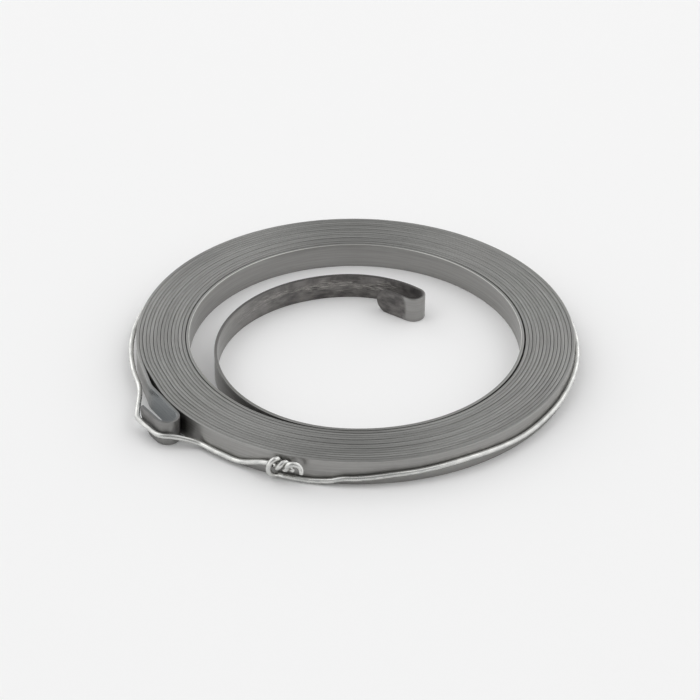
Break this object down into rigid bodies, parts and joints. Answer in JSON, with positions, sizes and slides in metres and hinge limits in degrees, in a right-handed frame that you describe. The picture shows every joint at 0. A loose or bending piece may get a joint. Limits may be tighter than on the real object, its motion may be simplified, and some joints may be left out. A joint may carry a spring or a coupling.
{
  "type": "recoil starter spring",
  "caption": "Flat spiral recoil starter spring: steel strip wound into a ring, with a hooked inner curl and a hooked outer end, held closed by a twisted retaining wire.",
  "frame": {"origin": "on the coil's axis, at the level of the strip's lower edge", "axes": "+Z along the coil's axis, up from the surface it lies on; the outer hook is at the front left, between -X and -Y"},
  "size_m": [0.0847, 0.0842, 0.005],
  "materials": {
    "spring_steel": "hardened and tempered strip, sheared edges, grey with heat stains",
    "galvanised_wire": "bright galvanised"
  },
  "bodies": {
    "root": {"spring_strip": "spring_steel", "retaining_wire": "galvanised_wire"}
  },
  "joints": []
}
